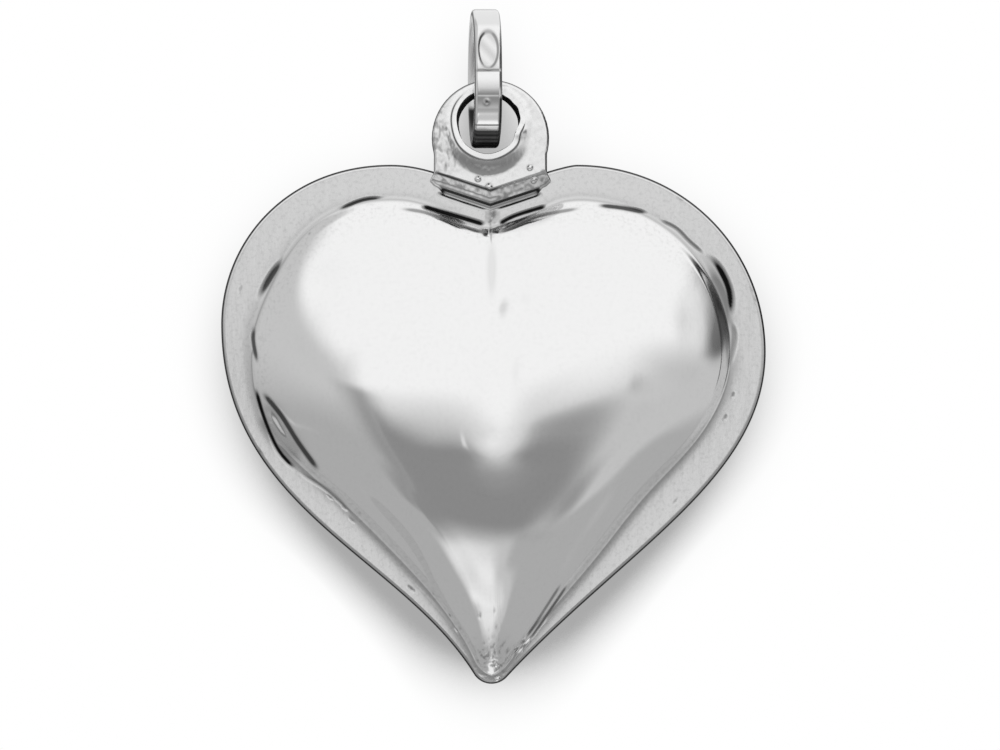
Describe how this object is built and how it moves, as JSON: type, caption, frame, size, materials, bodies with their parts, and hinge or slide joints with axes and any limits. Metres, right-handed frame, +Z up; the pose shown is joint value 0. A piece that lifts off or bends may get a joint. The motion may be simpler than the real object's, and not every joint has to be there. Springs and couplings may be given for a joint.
{
  "type": "puffy heart pendant",
  "caption": "Hollow domed heart pendant of two flanged halves, with an eyelet and a flat-band jump ring that runs through it.",
  "frame": {"origin": "where a chain bears on the jump ring, at the top of the ring's inner face", "axes": "+Z up from the heart's tip to the ring, +X to the viewer's right, front of the heart towards -Y"},
  "size_m": [0.0209, 0.0066, 0.026],
  "materials": {
    "silver_heart": "high polish",
    "silver_eyelet": "polished, with rough solder",
    "silver_ring": "high polish"
  },
  "bodies": {
    "ring": {"jump_ring": "silver_ring"},
    "heart": {"front_shell": "silver_heart", "back_shell": "silver_heart", "front_eyelet_ply": "silver_eyelet", "back_eyelet_ply": "silver_eyelet"}
  },
  "joints": [
    {"name": "heart_swing", "type": "hinge", "parent": "ring", "child": "heart", "pos_m": [-0.00015, 0, -0.00208], "axis": [0.9962, 0.0872, 0], "range_deg": [-120, 120]}
  ]
}
